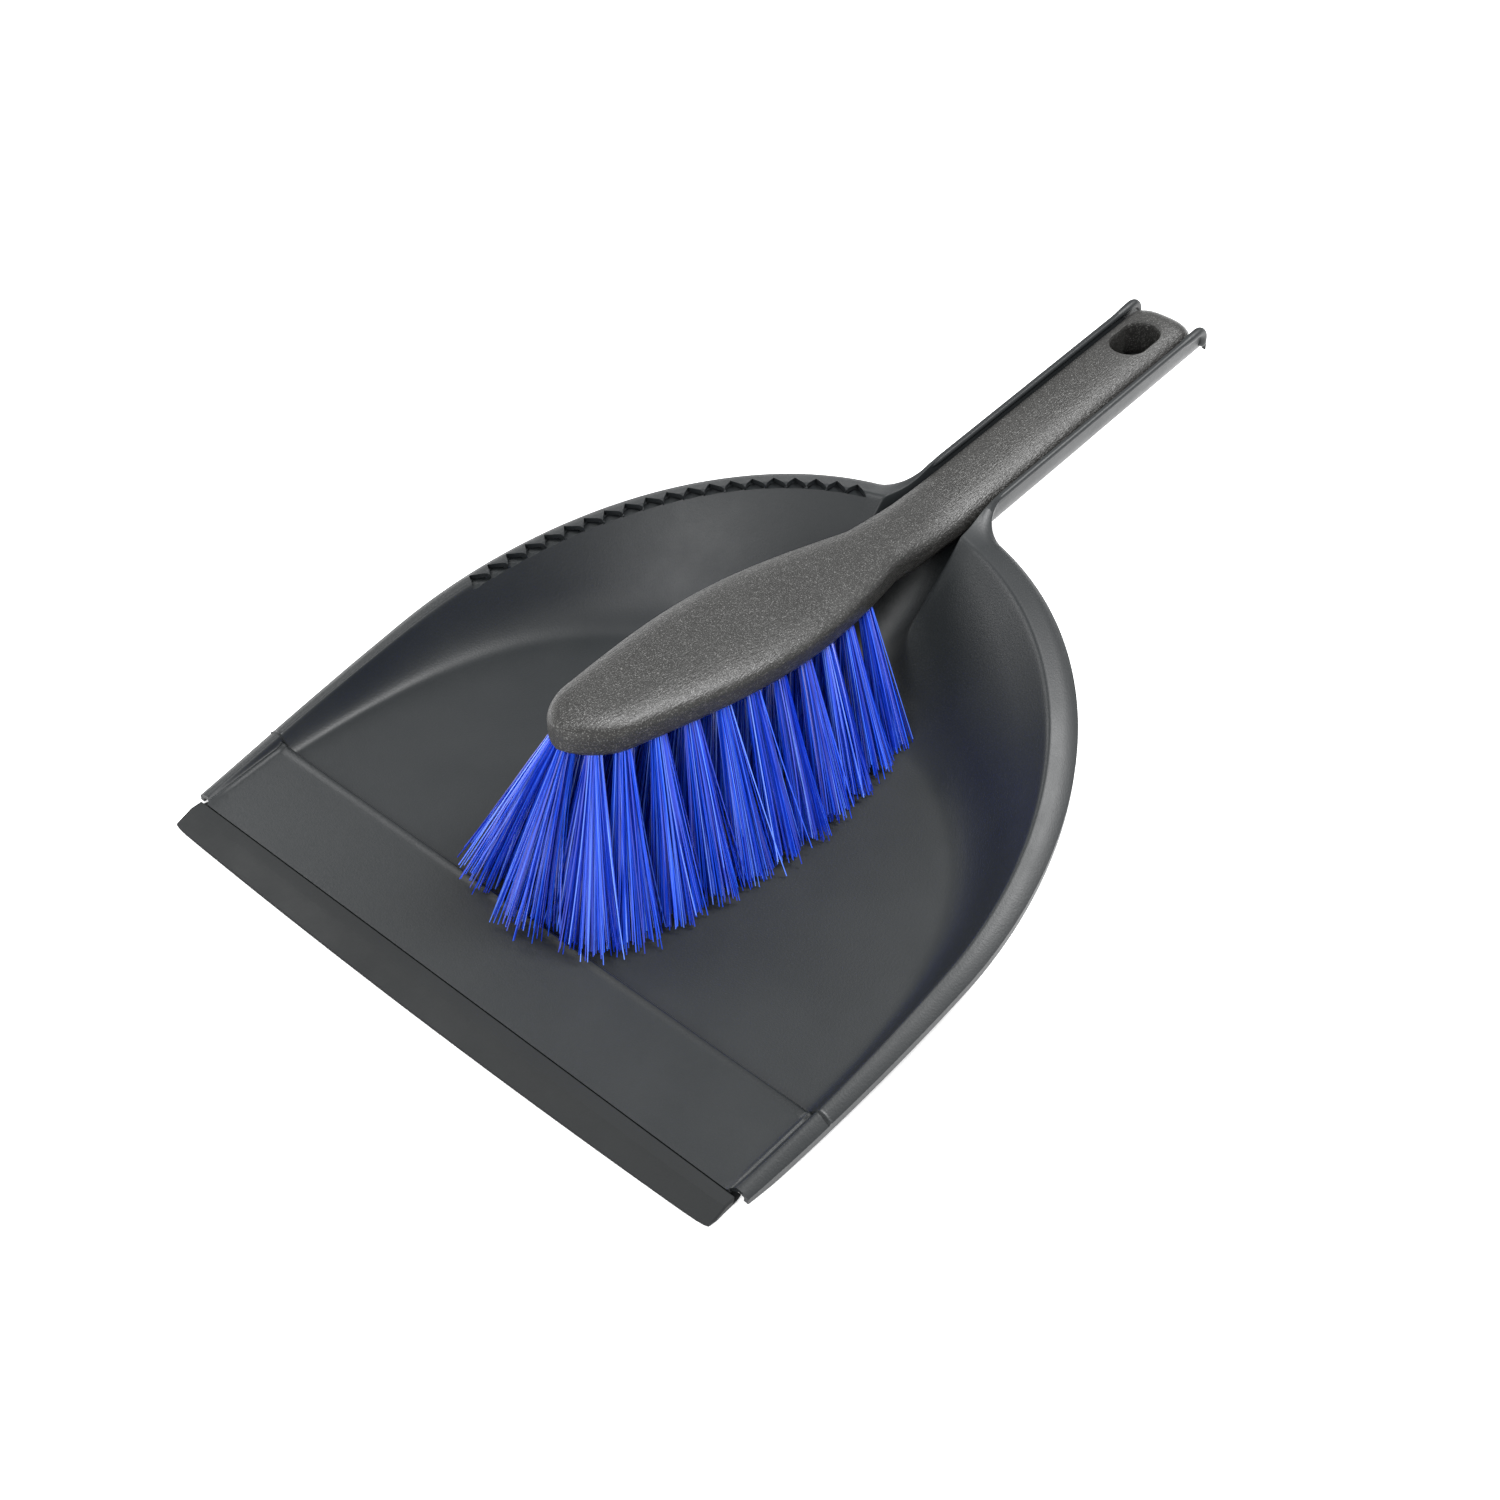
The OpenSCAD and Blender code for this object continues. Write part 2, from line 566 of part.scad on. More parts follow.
function tuft_root(side, row, k) = let (y = tuft_y(row, k))
    [(side == 0 ? -1 : 1) * tuft_x(row, y), y, body_under(y)];
function nose_lean_share(y) = pow(max(0, 1 - (y - y_nose) / nose_zone), 2);
function tuft_tip(root, row) = let (
    lean = row == "outer" ? outer_lean : inner_lean,
    spread = lean * (1 - nose_spread * nose_lean_share(root[1])),
    y = root[1] - forward_lean - nose_lean * nose_lean_share(root[1]),
    floor_h = y - tuft_tip_r * 1.5 < y_step ? ramp_back_h : wall_t
)
    [root[0] + sign(root[0]) * spread, y, floor_h + tip_gap];
nose_root = [0, y_nose + nose_tuft_in, body_under(y_nose + nose_tuft_in)];
nose_tip = nose_root
    - [0, forward_lean + nose_lean * nose_tuft_share, nose_root[2] - ramp_back_h - tip_gap];

// Draws its children with +Z running from point a to point b, starting at a
module aimed(a, b) {
    d = b - a;
    translate(a) rotate([0, acos(d[2] / norm(d)), atan2(d[1], d[0])]) children();
}
module tuft_hole(root, tip) {
    aimed(root, tip) translate([0, 0, -tuft_hole_d])
        cylinder(r = tuft_hole_r, h = tuft_hole_d + 4, $fn = 24);
}
module tuft(root, tip) {
    r = tuft_hole_r - tuft_fit;
    color([0.10, 0.25, 0.85]) intersection() {
        union() {
            aimed(root, tip) translate([0, 0, anchor_h - tuft_hole_d])
                cylinder(r = r, h = tuft_hole_d - anchor_h, $fn = 24);
            aimed(root, tip) cylinder(r1 = r, r2 = tuft_tip_r, h = norm(tip - root) + 3, $fn = 24);
        }
        translate([-set_w / 2, y_lip, tip[2]]) cube([set_w, set_l, set_w]);
    }
}
module anchor(root, tip) {
    w = 2 * root_fill * (tuft_hole_r - tuft_fit);
    aimed(root, tip) translate([-w / 2, -anchor_t / 2, -tuft_hole_d]) cube([w, anchor_t, anchor_h]);
}
all_tufts = concat(
    [[nose_root, nose_tip]],
    [for (row = ["outer", "inner"], side = [0, 1], k = [1:row == "outer" ? outer_tufts : inner_tufts])
        let (root = tuft_root(side, row, k)) [root, tuft_tip(root, row)]]
);
module brush_body() {
    color([0.21, 0.20, 0.19]) difference() {
        body_solid();
        hanging_hole();
        for (t = all_tufts) tuft_hole(t[0], t[1]);
    }
}
module tuft_anchors() {
    color("silver") for (t = all_tufts) anchor(t[0], t[1]);
}

pan();
rubber_lip();
brush_body();
tuft_anchors();
tuft(nose_root, nose_tip);  // tuft_nose
for (row = ["outer", "inner"], side = [0, 1], k = [1:row == "outer" ? outer_tufts : inner_tufts]) {
    root = tuft_root(side, row, k);
    tuft(root, tuft_tip(root, row));
}
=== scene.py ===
# %% [markdown]
# # A dust pan with its hand brush
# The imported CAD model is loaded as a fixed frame. Each visible piece is then modelled over it,
# in metres, and rides on one of the two bodies: the pan, or the brush that lifts off it.

import math

import bpy
import numpy as np
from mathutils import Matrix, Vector


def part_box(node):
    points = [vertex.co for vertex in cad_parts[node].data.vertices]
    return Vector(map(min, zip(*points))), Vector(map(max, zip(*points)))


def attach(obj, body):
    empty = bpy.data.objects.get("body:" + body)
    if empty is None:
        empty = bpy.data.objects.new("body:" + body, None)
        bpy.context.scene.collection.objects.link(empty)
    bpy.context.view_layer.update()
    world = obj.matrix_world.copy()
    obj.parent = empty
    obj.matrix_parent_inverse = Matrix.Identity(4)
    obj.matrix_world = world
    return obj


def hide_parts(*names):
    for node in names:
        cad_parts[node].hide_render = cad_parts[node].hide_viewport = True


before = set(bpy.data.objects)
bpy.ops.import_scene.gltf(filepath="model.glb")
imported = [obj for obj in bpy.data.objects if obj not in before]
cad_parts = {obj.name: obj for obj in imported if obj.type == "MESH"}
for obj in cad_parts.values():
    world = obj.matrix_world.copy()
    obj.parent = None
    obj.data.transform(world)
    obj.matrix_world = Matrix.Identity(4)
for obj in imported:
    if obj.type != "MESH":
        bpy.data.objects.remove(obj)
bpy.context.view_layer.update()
bpy.ops.object.select_all(action="DESELECT")

# %% [markdown]
# The sizes below are the CAD's own, in millimetres. The ends come from the CAD boxes, so the
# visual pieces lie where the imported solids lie.

# %% Sizes taken from the frame
MM = 0.001
lip_low, lip_high = [np.array(v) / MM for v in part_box("rubber_lip")]
pan_high = np.array(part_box("pan")[1]) / MM
brush_low, brush_high = [np.array(v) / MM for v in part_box("brush_body")]
HALF_W = pan_high[0]
Y_LIP, Y_END = lip_low[1], pan_high[1]
Y_SEAM = Y_LIP + 12.3
Y_RAIL = Y_SEAM + 1.5
Y_STEP = Y_LIP + 42.5
Y_WIDE = Y_LIP + 95.0
BACK_REACH = 130.5
Y_NECK = Y_WIDE + BACK_REACH + 3.9
NECK_H, HANDLE_RISE = 45.3, math.tan(math.radians(3.9))
FLOOR_Z = 1.9
TROUGH_R, TROUGH_DEPTH, TROUGH_EDGE_X = 11.9, 15.4, 14.0
print("lip at", Y_LIP, "handle ends at", Y_END)

# %% Small helpers for shapes
def clamp(v, lo=0.0, hi=1.0):
    return np.minimum(np.maximum(v, lo), hi)


def ease(v):
    v = clamp(v)
    return v * v * (3 - 2 * v)


def soft_min(a, b, k):
    h = np.maximum(k - np.abs(a - b), 0) / k
    return np.minimum(a, b) - h * h * k / 4


def soft_max(a, b, k):
    return -soft_min(-a, -b, k)


def rim_share(y):
    return (y - Y_RAIL) / (Y_NECK - Y_RAIL)


def rim_height(y):
    s = rim_share(y)
    return 2.9 + 38.6 * (0.64 * s + 0.36 * s * s)


def rim_width(y):
    return 4.0 + 6.6 * clamp(rim_share(y), 0, 2) ** 1.3


def edge_height(y):
    """Height of the trough's edge."""
    return NECK_H + (y - Y_NECK) * HANDLE_RISE


# %% [markdown]
# A moulded pan is one skin of even thickness. Its rim is a smooth curve from the mouth to the
# handle, so half of that curve is listed as stations. Each section of the pan starts at one.

# %% Outline of half the pan, from the mouth to the end of the handle
CORNER_R = 12.0
phi = np.linspace(0, math.pi / 2, 2000)
oval = np.stack([HALF_W * np.cos(phi), Y_WIDE + BACK_REACH * np.sin(phi)], 1)


def oval_distance(p):
    """Distance from points to the bowl's oval back, positive inside it."""
    out = np.empty(len(p))
    for i in range(0, len(p), 2000):
        q = p[i : i + 2000]
        out[i : i + 2000] = np.sqrt(((q[:, None, :] - oval[None, ::4, :]) ** 2).sum(2)).min(1)
    inside = (p[:, 0] / HALF_W) ** 2 + (clamp(p[:, 1] - Y_WIDE, 0, 1e9) / BACK_REACH) ** 2 < 1
    return np.where(inside, out, -out)


corner_x = TROUGH_EDGE_X + CORNER_R
low_y, high_y = Y_WIDE + BACK_REACH * 0.8, Y_WIDE + BACK_REACH + 30
for _ in range(50):
    mid_y = (low_y + high_y) / 2
    far = -oval_distance(np.array([[corner_x, mid_y]]))[0]
    if far < CORNER_R:
        low_y = mid_y
    else:
        high_y = mid_y
corner_y = (low_y + high_y) / 2
touch = np.argmin(((oval - [corner_x, corner_y]) ** 2).sum(1))
phi_end = phi[touch]
start_angle = math.atan2(oval[touch, 1] - corner_y, oval[touch, 0] - corner_x)

step_rows = [-3.0, -1.6, -0.9, -0.5, -0.2, 0.1, 0.4, 0.8, 1.4, 2.4]
side_ys = np.concatenate([
    np.linspace(Y_RAIL, Y_STEP - 4, 10),
    [Y_STEP + r for r in step_rows],
    np.linspace(Y_STEP + 4, Y_WIDE, 16),
])
points, inwards, centres, lands, tilts = [], [], [], [], []
for y in side_ys:
    s = (Y_WIDE - y) / (Y_WIDE - Y_RAIL)
    points.append((HALF_W - 3.5 * s * s, y))
    inwards.append((-1.0, 0.0))
    centres.append(y - 1.5 * clamp(1 - (y - Y_RAIL) / 6))
    lands.append(rim_height(y))
    tilts.append(0.26)
floor_back = Y_WIDE + BACK_REACH - 53
for a in np.linspace(0, phi_end, 92)[1:]:
    p = np.array([HALF_W * math.cos(a), Y_WIDE + BACK_REACH * math.sin(a)])
    n = np.array([math.cos(a) / HALF_W, math.sin(a) / BACK_REACH])
    points.append(tuple(p))
    inwards.append(tuple(-n / np.linalg.norm(n)))
    centres.append(Y_WIDE + (floor_back - 6 - Y_WIDE) * (a / phi_end))
    lands.append(rim_height(p[1]))
    tilts.append(0.26)
oval_rows = len(points)
corner_steps = 44
first_land = lands[-1]
last_land = edge_height(corner_y)
for k in range(1, corner_steps + 1):
    s = k / corner_steps
    a = start_angle + (-math.pi - start_angle) * s
    points.append((corner_x + CORNER_R * math.cos(a), corner_y + CORNER_R * math.sin(a)))
    inwards.append((math.cos(a), math.sin(a)))
    centres.append(centres[oval_rows - 1] + (corner_y - centres[oval_rows - 1]) * s)
    lands.append(first_land + (last_land - first_land) * (0.5 * s + 0.5 * float(ease(s))))
    tilts.append(0.26 * (1 - float(ease(s))))
END_L, END_DROP = 9.0, 8.5
handle_ys = np.concatenate([
    np.linspace(corner_y, Y_END - END_L, 40)[1:],
    Y_END - END_L + END_L * np.sin(np.linspace(0, math.pi / 2, 9)[1:]),
])
for y in handle_ys:
    points.append((TROUGH_EDGE_X, y))
    inwards.append((-1.0, 0.0))
    centres.append(y)
    past_end = max(0.0, (y - (Y_END - END_DROP)) / END_DROP)
    drop = END_DROP * (1 - math.sqrt(max(0.0, 1 - past_end**2)))
    lands.append(edge_height(y) - drop)
    tilts.append(0.0)
points, inwards, centres = np.array(points), np.array(inwards), np.array(centres)
lands, tilts = np.array(lands), np.array(tilts)
print(len(points), "stations; corner at", round(corner_x, 2), round(corner_y, 2))

# %% [markdown]
# The floor, walls, chute and trough of a moulding flow into each other through fillets. Booleans
# between blocks would leave sharp joins, so the heights are blended with soft minimum and maximum.

# %% Height of the pan's upper face
CHUTE_FOOT_Y, CHUTE_TOP_Y = Y_WIDE + BACK_REACH - 51.8, Y_NECK - 1


def groove(x, y):
    """Height of the trough and of the chute that carries it down the back wall."""
    trough_z = edge_height(y) - TROUGH_DEPTH
    slope = (edge_height(CHUTE_TOP_Y) - TROUGH_DEPTH - FLOOR_Z) / (CHUTE_TOP_Y - CHUTE_FOOT_Y)
    chute_z = FLOOR_Z + (y - CHUTE_FOOT_Y) * slope
    bottom = soft_min(trough_z, chute_z, 3.0)
    flare = clamp((CHUTE_FOOT_Y + 19 - y) / 16)
    radius = TROUGH_R + 1.9 * ease((Y_NECK - y) / 22) + 42 * flare**2.2
    near = np.minimum(np.abs(x), 0.993 * radius)
    slope_out = 0.993 / math.sqrt(1 - 0.993**2)
    return bottom + radius - np.sqrt(radius**2 - near**2) + (np.abs(x) - near) * slope_out


def past_floor_outline(x, y):
    """Below zero on the flat floor, above zero under the walls."""
    return (np.abs(x) / 101.5) ** 2.2 + (clamp(y - Y_LIP - 47, 0, 1e9) / 127.0) ** 2.7 - 1


last_run = [1.0]


def section(k, count, fine=500):
    """Points across the upper face at station k, from the rim's outer edge to the middle."""
    p0, p3 = points[k], np.array([0.0, centres[k]])
    reach = np.linalg.norm(p3 - p0)
    p1 = p0 + inwards[k] * reach * 0.55
    p2 = p3 + np.array([1.0, 0.0]) * p0[0] * 0.3
    u = np.linspace(0, 1, fine)[:, None]
    path = (1 - u) ** 3 * p0 + 3 * (1 - u) ** 2 * u * p1 + 3 * (1 - u) * u * u * p2 + u**3 * p3
    if k < len(side_ys):
        path[:, 0] = p0[0] * (1 - np.linspace(0, 1, fine))
        path[:, 1] = p0[1] - (p0[1] - centres[k]) * ease((p0[0] - path[:, 0] - 4.4) / 1.2)
    along = np.concatenate([[0], np.cumsum(np.linalg.norm(np.diff(path, axis=0), axis=1))])
    x, y = path[:, 0], path[:, 1]
    on_handle = k >= oval_rows
    y_rim = points[min(k, oval_rows - 1)][1]
    width = rim_width(y_rim)
    seen_x, seen_y = points[min(k, oval_rows - 1)]
    turned = math.atan2(max(seen_y - Y_WIDE, 0) / BACK_REACH, seen_x / HALF_W)
    back = ease(turned / math.radians(50))
    land = lands[k] + tilts[k] * np.minimum(along, width + 3)
    if on_handle:
        inside = np.where(y > Y_WIDE, oval_distance(path), along)
        share = min(1.0, (k - oval_rows + 1) / corner_steps)
        wall = lands[oval_rows - 1] + 0.26 * width - (inside - width) / last_run[0] + 6.5 * share
    else:
        past = past_floor_outline(x, y)
        m = max(1, int(np.argmax(past < 0)))
        foot = along[m - 1] + (along[m] - along[m - 1]) * past[m - 1] / (past[m - 1] - past[m])
        drop = lands[k] + tilts[k] * width - FLOOR_Z
        run = max(foot - width, 0.35 * drop) / drop
        last_run[0] = run
        wall = lands[k] + tilts[k] * width - (along - width) / run
    top = soft_min(land, wall, 1.4)
    sharp = 1.0 + 4.0 * ease((Y_NECK + 2 - y) / 14) * ease((y - CHUTE_FOOT_Y + 14) / 10)
    shape = soft_min(top, groove(x, y), sharp) if y.max() > CHUTE_FOOT_Y - 30 else top
    ramp = 2.8 + (y - Y_SEAM) * 1.9 / (Y_STEP - Y_SEAM)
    ramp = ramp + 0.6 * np.exp(-(((y - Y_STEP + 0.9) / 0.5) ** 2))
    if y_rim < Y_STEP and not on_handle:
        side_foot = width + (lands[k] + tilts[k] * width - ramp[len(ramp) // 2]) * last_run[0]
        ramp = ramp + 0.6 * np.exp(-(((along - side_foot - 0.8) / 0.7) ** 2))
    ramp = np.where(y < Y_STEP, ramp, 4.8 - (y - Y_STEP) * 4.0)
    floor = soft_max(ramp, np.full_like(y, FLOOR_Z), 0.7)
    height = lands[k] + tilts[k] * width - FLOOR_Z
    blend = min(9.0 + 3.0 * (1 - back), 1.1 * height)
    if y_rim < Y_STEP:
        blend = 1.2
    if on_handle:
        blend = 4.5
    z = soft_max(shape, floor, blend)
    bend = np.abs(np.gradient(np.arctan2(np.gradient(z), np.gradient(along) + 1e-9)))
    bend = np.convolve(bend, np.ones(9) / 9, "same")
    weight = np.sqrt(np.gradient(along) ** 2 + np.gradient(z) ** 2) * 0.55 + bend * 9.0
    grown = np.concatenate([[0], np.cumsum(weight[1:] + 0.02)])
    marks = np.interp(np.linspace(0, grown[-1], count), grown, np.arange(fine))
    pick = lambda v: np.interp(marks, np.arange(fine), v)
    return np.stack([pick(x), pick(y), pick(z)], 1)


EDGE_R = 1.1
across = 58
rows = []
for k in range(len(points)):
    skirt = 3.6 if k < oval_rows else 3.6 - 1.6 * min(1.0, (k - oval_rows) / corner_steps)
    skirt = min(skirt, lands[k] - 0.35)
    round_r = min(EDGE_R, 0.45 * skirt)
    inner = section(k, across)
    d = np.linalg.norm(inner[:, :2] - points[k], axis=1)
    sink = round_r - np.sqrt(np.maximum(round_r**2 - np.maximum(round_r - d, 0) ** 2, 0))
    inner[:, 2] -= sink
    edge_x, edge_y = points[k]
    below = [round_r + (skirt - round_r) * f for f in (1.0, 0.66, 0.33)]
    outer = [[edge_x, edge_y, lands[k] - z] for z in below]
    rows.append(np.vstack([outer, inner]))
half = np.array(rows)
print("half of the pan", half.shape, "z", half[..., 2].min().round(2), half[..., 2].max().round(2))

# %% Helpers that turn rows of points into a mesh
def pick_only(obj):
    bpy.ops.object.select_all(action="DESELECT")
    obj.select_set(True)
    bpy.context.view_layer.objects.active = obj


def grid_from_rows(name, table):
    """A grid primitive whose corners are put where the table of points says, in millimetres."""
    n, m = table.shape[:2]
    bpy.ops.object.select_all(action="DESELECT")
    bpy.ops.mesh.primitive_grid_add(x_subdivisions=m - 1, y_subdivisions=n - 1, size=2)
    obj = bpy.context.object
    obj.name = obj.data.name = name
    co = np.empty(len(obj.data.vertices) * 3)
    obj.data.vertices.foreach_get("co", co)
    co = co.reshape(-1, 3)
    i = np.rint((co[:, 1] + 1) / 2 * (n - 1)).astype(int)
    j = np.rint((co[:, 0] + 1) / 2 * (m - 1)).astype(int)
    obj.data.vertices.foreach_set("co", (table[i, j] * MM).ravel())
    obj.data.update()
    return obj


def weld(obj, gap=0.00002):
    pick_only(obj)
    bpy.ops.object.mode_set(mode="EDIT")
    bpy.ops.mesh.select_all(action="SELECT")
    bpy.ops.mesh.remove_doubles(threshold=gap)
    bpy.ops.object.mode_set(mode="OBJECT")


def face_out(obj):
    pick_only(obj)
    bpy.ops.object.mode_set(mode="EDIT")
    bpy.ops.mesh.select_all(action="SELECT")
    bpy.ops.mesh.normals_make_consistent(inside=False)
    bpy.ops.object.mode_set(mode="OBJECT")


def close_ends(obj):
    """Fill the open ends of a tube and turn its faces outwards."""
    pick_only(obj)
    bpy.ops.object.mode_set(mode="EDIT")
    bpy.ops.mesh.select_all(action="DESELECT")
    bpy.ops.mesh.select_mode(type="EDGE")
    bpy.ops.mesh.select_non_manifold()
    bpy.ops.mesh.fill_holes(sides=0)
    bpy.ops.object.mode_set(mode="OBJECT")
    face_out(obj)


def apply_modifier(obj, kind, **settings):
    pick_only(obj)
    bpy.ops.object.modifier_add(type=kind)
    made = obj.modifiers[-1]
    for key, value in settings.items():
        setattr(made, key, value)
    bpy.ops.object.modifier_apply(modifier=made.name)


def smooth(obj, degrees=35):
    pick_only(obj)
    bpy.ops.object.shade_smooth_by_angle(angle=math.radians(degrees))


def count(obj):
    obj.data.calc_loop_triangles()
    print(obj.name, len(obj.data.vertices), "vertices", len(obj.data.loop_triangles), "triangles")


# %% [markdown]
# The two halves become one sheet, which is then thickened downwards like the real moulded wall.

# %% The pan's upper face and its thickness
SHELL_T = 1.5
mirrored = half[:, ::-1].copy()
mirrored[..., 0] *= -1
whole = np.concatenate([half, mirrored[:, 1:]], axis=1)
pan = grid_from_rows("pan_shell", whole)
pick_only(pan)
normal_up = sum(1 if p.normal.z > 0 else -1 for p in pan.data.polygons)
if normal_up < 0:
    bpy.ops.object.mode_set(mode="EDIT")
    bpy.ops.mesh.select_all(action="SELECT")
    bpy.ops.mesh.flip_normals()
    bpy.ops.object.mode_set(mode="OBJECT")
apply_modifier(pan, "SOLIDIFY", thickness=SHELL_T * MM, offset=-1.0)
count(pan)

# %% [markdown]
# The comb on the left rim strips fluff from the bristles. Its notches are sunk and don't go
# through, so a shelf closes them from below after the cut.

# %% Comb notches
def inner_rim_point(s):
    """Point and direction at arc length s along the rim's inner edge, starting at the widest part."""
    return np.array([np.interp(s, comb_s, comb_line[:, c]) for c in range(5)])


comb = []
for a in np.linspace(0, math.pi / 2, 400):
    p = np.array([HALF_W * math.cos(a), Y_WIDE + BACK_REACH * math.sin(a)])
    n = -np.array([math.cos(a) / HALF_W, math.sin(a) / BACK_REACH])
    n /= np.linalg.norm(n)
    w = rim_width(p[1])
    q = p + n * w
    comb.append([q[0], q[1], rim_height(p[1]) + 0.26 * w, n[0], n[1]])
comb_line = np.array(comb)
comb_s = np.concatenate([[0], np.cumsum(np.linalg.norm(np.diff(comb_line[:, :2], axis=0), axis=1))])
TEETH, PITCH = 20, 6.5
comb_start = 27.5
cutters = []
for k in range(TEETH):
    x, y, z, nx, ny = inner_rim_point(comb_start + PITCH * k)
    bpy.ops.object.select_all(action="DESELECT")
    bpy.ops.mesh.primitive_cylinder_add(vertices=3, radius=1, depth=1, location=(0, 0, 0))
    cut = bpy.context.object
    turn = math.atan2(ny, nx)
    deep, wide = 4.4, 0.45 * PITCH
    co = np.empty(18)
    cut.data.vertices.foreach_get("co", co)
    co = co.reshape(-1, 3)
    shape = []
    for v in co:
        corner = int(round(math.atan2(v[1], v[0]) / (2 * math.pi / 3)))
        out, side = ((-deep, 1.6), (1.2, -wide * 1.25), (1.2, wide * 1.25))[corner % 3]
        px = x + nx * out - ny * side
        py = y + ny * out + nx * side
        shape.append((-px * MM, py * MM, (z + (3.0 if v[2] > 0 else -2.6)) * MM))
    cut.data.vertices.foreach_set("co", np.array(shape).ravel())
    cut.data.update()
    cutters.append(cut)
bpy.ops.object.select_all(action="DESELECT")
for cut in cutters:
    cut.select_set(True)
bpy.context.view_layer.objects.active = cutters[0]
bpy.ops.object.join()
comb_cut = bpy.context.object
comb_cut.name = "comb_cut"
face_out(comb_cut)
apply_modifier(pan, "BOOLEAN", operation="DIFFERENCE", object=comb_cut, solver="MANIFOLD")
bpy.data.objects.remove(comb_cut)
backing = []
for s in np.linspace(comb_start - 6, comb_start + PITCH * TEETH + 2, 90):
    x, y, z, nx, ny = inner_rim_point(s)
    corners = [(0.7, -2.5), (0.7, -3.3), (-5.6, -3.9), (-5.6, -2.9), (0.7, -2.5)]
    backing.append([(-(x + nx * d), y + ny * d, z + h) for d, h in corners])
shelf = grid_from_rows("comb_shelf", np.array(backing))
weld(shelf)


close_ends(shelf)

# %% [markdown]
# The edges of the handle trough are rolled into a bead that curls down at the open end. A round
# tube along each edge gives the bead its light line.

# %% Beads along the trough
BEAD_R, BEAD_END_R, CURL_R, BEAD_IN = 1.15, 1.6, 4.0, 1.0
ring = [2 * math.pi * (j % 16) / 16 for j in range(17)]
beads = []
for side in (-1, 1):
    path = [(y, edge_height(y) - BEAD_R) for y in np.linspace(corner_y - 2, Y_END - 5.8, 40)]
    y0, z0 = path[-1]
    for a in np.linspace(0, math.pi * 0.72, 18)[1:]:
        path.append((y0 + CURL_R * math.sin(a), z0 - CURL_R * (1 - math.cos(a))))
    path = np.array(path)
    along = np.gradient(path, axis=0)
    along /= np.linalg.norm(along, axis=1)[:, None]
    rows_b = []
    for k, ((y, z), (ty, tz)) in enumerate(zip(path, along)):
        left = min(k, len(path) - 1 - k)
        r = BEAD_R + (BEAD_END_R - BEAD_R) * float(ease((y - Y_END + 16) / 8))
        r *= math.sqrt(1 - (1 - min(1.0, (left + 0.3) / 3.0)) ** 2)
        loop = []
        for a in ring:
            out, rise = TROUGH_EDGE_X - BEAD_IN + r * math.cos(a), r * math.sin(a)
            loop.append((side * out, y - tz * rise, z + ty * rise))
        rows_b.append(loop)
    bead = grid_from_rows("trough_bead", np.array(rows_b))
    weld(bead)
    close_ends(bead)
    beads.append(bead)
pick_only(pan)
for extra in beads + [shelf]:
    extra.select_set(True)
bpy.context.view_layer.objects.active = pan
bpy.ops.object.join()
pan = bpy.context.object
smooth(pan, 38)
count(pan)
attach(pan, "pan_body")
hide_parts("pan")

# %% [markdown]
# The lip is a soft strip with a flat band and a drooping front face that touches the floor. One
# section is repeated across the mouth and pulled back a little towards both ends.

# %% Rubber lip
LIP_HALF = lip_high[0]
near_end = np.array([0.0, 0.15, 0.5, 1.0, 1.8])
lip_x = np.concatenate([
    -LIP_HALF + near_end,
    np.linspace(-LIP_HALF + 4, LIP_HALF - 4, 60),
    LIP_HALF - near_end[::-1],
])
lip_rows = []
for x in lip_x:
    s = abs(x) / LIP_HALF
    front = Y_LIP + 1.9 * s * s + 0.9 * s**60
    pinch = 0.35 * max(0.0, 1 - (LIP_HALF - abs(x)) / 0.5)
    bend_y = front + (Y_SEAM - front) * 0.6
    outline = [
        (Y_SEAM + 2.2, 0.5), (Y_SEAM + 2.2, 1.1), (Y_SEAM - 0.12, 1.1), (Y_SEAM - 0.12, 2.45),
        (Y_SEAM - 0.45, 2.78), (Y_SEAM - 1.5, 2.8), (bend_y + 0.5, 2.8), (bend_y + 0.1, 2.76),
        (bend_y - 0.3, 2.6), (bend_y - 1.8, 2.05), (front + 1.0, 1.1), (front + 0.3, 0.85),
        (front, 0.5), (front + 0.1, 0.15), (front + 0.4, 0.0), (front + 1.6, 0.05),
        (bend_y, 0.4), (bend_y + 3, 0.45), (Y_SEAM - 0.6, 0.5),
    ]
    mid_y, mid_z = np.mean(outline, axis=0)
    row = []
    for y, z in outline + outline[:1]:
        row.append((x, mid_y + (y - mid_y) * (1 - pinch), mid_z + (z - mid_z) * (1 - pinch)))
    lip_rows.append(row)
lip = grid_from_rows("lip_strip", np.array(lip_rows))
weld(lip)
close_ends(lip)
smooth(lip, 9)
count(lip)
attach(lip, "pan_body")
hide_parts("rubber_lip")

# %% [markdown]
# Head and handle are one moulding whose section changes from a flat oval to a rounder grip. It is
# made from rings, since a stretched primitive could not change its section along the length.

# %% Brush body
Y_NOSE, Y_TAIL = brush_low[1], brush_high[1]
HEAD_L = 130.5
Y_HEAD_NECK = Y_NOSE + HEAD_L
NOSE_SHARE = 0.12


def head_top(y):
    return 48.6 + (Y_HEAD_NECK - y) * math.tan(math.radians(7.2))


def top_line(y):
    a, b = head_top(y), edge_height(y) + 1.2
    return (a + b) / 2 + math.hypot((a - b) / 2, 1.1)


def nose_part(y):
    return max(0.0, 1 - (y - Y_NOSE) / (NOSE_SHARE * HEAD_L))


def tail_part(y):
    return max(0.0, 1 - (Y_TAIL - y) / 9.0)


